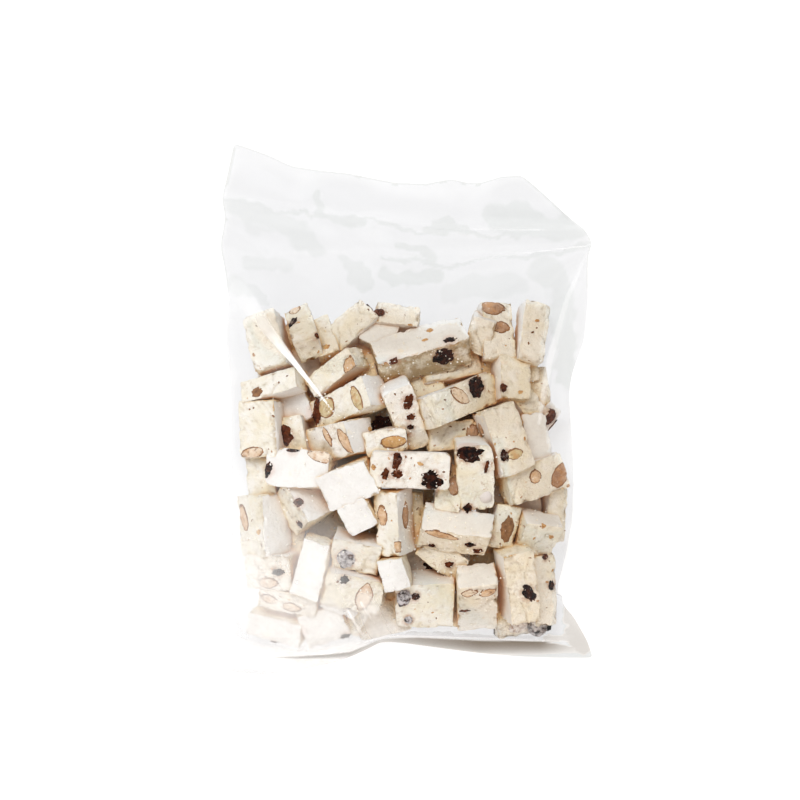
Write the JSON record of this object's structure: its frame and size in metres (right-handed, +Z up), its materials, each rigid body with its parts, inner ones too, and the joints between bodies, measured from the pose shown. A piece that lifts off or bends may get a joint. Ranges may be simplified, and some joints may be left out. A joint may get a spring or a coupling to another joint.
{
  "type": "clear sealed bag of cut nougat pieces",
  "caption": "Clear film bag, sealed at both ends and filled with cut nougat pieces with almonds and dried cranberries, lying on its back with an empty, creased top.",
  "frame": {"origin": "middle of the bag's box, on the surface it lies on", "axes": "+Y towards the empty top of the bag, +X to its right edge as seen from the shown side, +Z up out of the shown side"},
  "size_m": [0.2316, 0.3288, 0.055],
  "materials": {
    "film": "clear glossy film",
    "nougat": "cut, chewy and slightly crumbly",
    "rice_paper": "matte edible paper",
    "almond": "cut kernel",
    "almond_skin": "dry brown skin",
    "cranberry": "wrinkled, sugar-dusted"
  },
  "bodies": {
    "root": {"bag": "film"}
  },
  "joints": []
}
